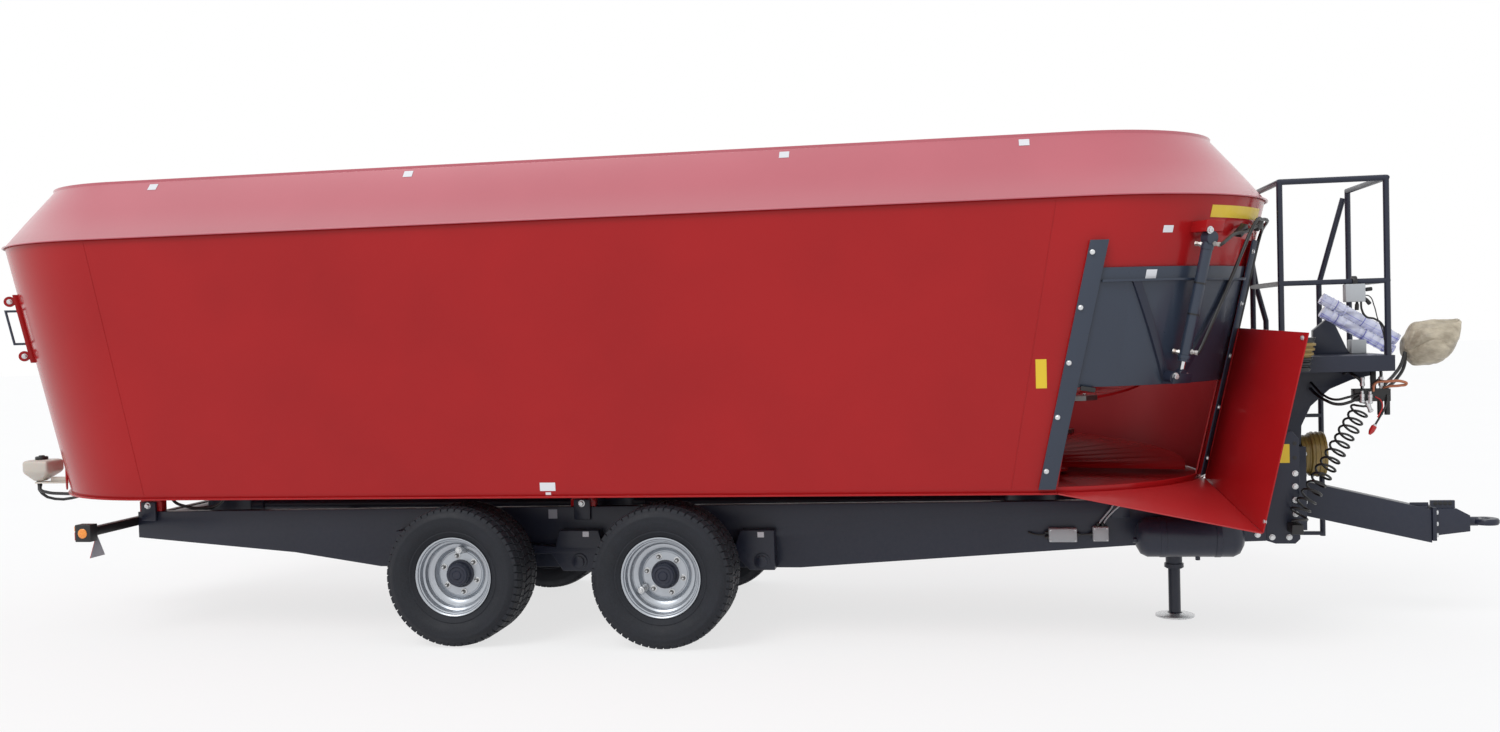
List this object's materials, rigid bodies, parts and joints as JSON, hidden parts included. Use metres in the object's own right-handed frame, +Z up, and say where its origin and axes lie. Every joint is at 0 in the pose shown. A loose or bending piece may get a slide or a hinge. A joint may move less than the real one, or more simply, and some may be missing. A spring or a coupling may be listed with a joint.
{
  "type": "feed mixer wagon",
  "caption": "Towed feed mixer wagon: long oval hopper with upright augers, sliding side discharge door with chute, tandem axle, drawbar, parking jack and ladder platform.",
  "frame": {"origin": "centre of the sole of the parking jack's foot, on the ground under the wagon's centre line", "axes": "+X forward to the hitch eye, +Y to the wagon's left side, +Z up"},
  "size_m": [10.622, 2.55, 3.215],
  "materials": {
    "anthracite_paint": "satin",
    "bare_steel": "worn bright",
    "black_plastic": "matt",
    "blue_film": "gloss",
    "door_grey_paint": "satin",
    "hose_rubber": "matt",
    "light_grey_box": "matt",
    "olive_guard": "matt",
    "pale_plastic": "matt",
    "red_paint": "gloss",
    "red_reflector": "gloss",
    "silver_rim_paint": "satin",
    "tan_paper": "matt",
    "tyre_rubber": "matt"
  },
  "bodies": {
    "wagon": {"air_tank": "anthracite_paint", "axle_front": "anthracite_paint", "axle_rear": "anthracite_paint", "cable_gland": "black_plastic", "chassis_frame": "anthracite_paint", "chute_deflector": "red_paint", "chute_floor": "red_paint", "counter_knife_left": "red_paint", "counter_knife_right": "red_paint", "coupling_holder": "black_plastic", "curly_cable": "hose_rubber", "cylinder_bracket": "red_paint", "display_box": "light_grey_box", "door_cylinder": "anthracite_paint", "door_guide_front": "door_grey_paint", "door_guide_rear": "door_grey_paint", "door_hose_lower": "hose_rubber", "door_hose_upper": "hose_rubber", "drawbar": "anthracite_paint", "front_arm": "anthracite_paint", "front_head": "anthracite_paint", "gearbox_front": "anthracite_paint", "gearbox_middle": "anthracite_paint", "gearbox_rear": "anthracite_paint", "hitch": "anthracite_paint", "hopper_collar": "red_paint", "hopper_floor": "red_paint", "hopper_wall": "red_paint", "input_guard": "olive_guard", "jack_tube": "anthracite_paint", "junction_box_large": "light_grey_box", "junction_box_small": "light_grey_box", "ladder": "anthracite_paint", "light_bar": "black_plastic", "oil_reservoir": "pale_plastic", "platform": "anthracite_paint", "reservoir_hose": "hose_rubber", "shaft_cradle": "anthracite_paint", "stowed_shaft": "blue_film", "stowed_shaft_head": "tan_paper", "suspension_left": "anthracite_paint", "suspension_right": "anthracite_paint", "transfer_gearbox": "anthracite_paint", "triangle_left": "red_reflector", "triangle_right": "red_reflector"},
    "wheel_front_right": {"tyre_front_right": "tyre_rubber", "rim_front_right": "silver_rim_paint"},
    "wheel_front_left": {"tyre_front_left": "tyre_rubber", "rim_front_left": "silver_rim_paint"},
    "wheel_rear_right": {"tyre_rear_right": "tyre_rubber", "rim_rear_right": "silver_rim_paint"},
    "wheel_rear_left": {"tyre_rear_left": "tyre_rubber", "rim_rear_left": "silver_rim_paint"},
    "auger_front": {"auger_front": "red_paint"},
    "auger_middle": {"auger_middle": "red_paint"},
    "auger_rear": {"auger_rear": "red_paint"},
    "pto_input": {"input_shaft": "bare_steel"},
    "door": {"discharge_door": "door_grey_paint", "cylinder_rod": "bare_steel"},
    "jack_leg": {"jack_leg": "anthracite_paint"}
  },
  "joints": [
    {"name": "wheel_front_right_spin", "type": "hinge", "parent": "wagon", "child": "wheel_front_right", "pos_m": [-3.33, -0.9825, 0.4655], "axis": [0, 1, 0], "continuous": true},
    {"name": "wheel_front_left_spin", "type": "hinge", "parent": "wagon", "child": "wheel_front_left", "pos_m": [-3.33, 0.9825, 0.4655], "axis": [0, 1, 0], "continuous": true},
    {"name": "wheel_rear_right_spin", "type": "hinge", "parent": "wagon", "child": "wheel_rear_right", "pos_m": [-4.74, -0.9825, 0.4655], "axis": [0, 1, 0], "continuous": true},
    {"name": "wheel_rear_left_spin", "type": "hinge", "parent": "wagon", "child": "wheel_rear_left", "pos_m": [-4.74, 0.9825, 0.4655], "axis": [0, 1, 0], "continuous": true},
    {"name": "auger_front_turn", "type": "hinge", "parent": "wagon", "child": "auger_front", "pos_m": [-0.95, 0, 0.997], "axis": [0, 0, 1], "continuous": true},
    {"name": "auger_middle_turn", "type": "hinge", "parent": "wagon", "child": "auger_middle", "pos_m": [-3.965, 0, 0.997], "axis": [0, 0, 1], "continuous": true},
    {"name": "auger_rear_turn", "type": "hinge", "parent": "wagon", "child": "auger_rear", "pos_m": [-6.98, 0, 0.997], "axis": [0, 0, 1], "continuous": true},
    {"name": "pto_input_turn", "type": "hinge", "parent": "wagon", "child": "pto_input", "pos_m": [0.82, 0, 1.1], "axis": [1, 0, 0], "continuous": true},
    {"name": "door_slide", "type": "slide", "parent": "wagon", "child": "door", "axis": [0.2058, -0.0532, 0.9771], "range_m": [-0.61, 0.03]},
    {"name": "jack_leg_slide", "type": "slide", "parent": "wagon", "child": "jack_leg", "axis": [0, 0, 1], "range_m": [0, 0.18]}
  ],
  "couplings": [
    {"joint": "auger_middle_turn", "follows": "auger_front_turn", "ratio": 1},
    {"joint": "auger_rear_turn", "follows": "auger_front_turn", "ratio": 1}
  ]
}
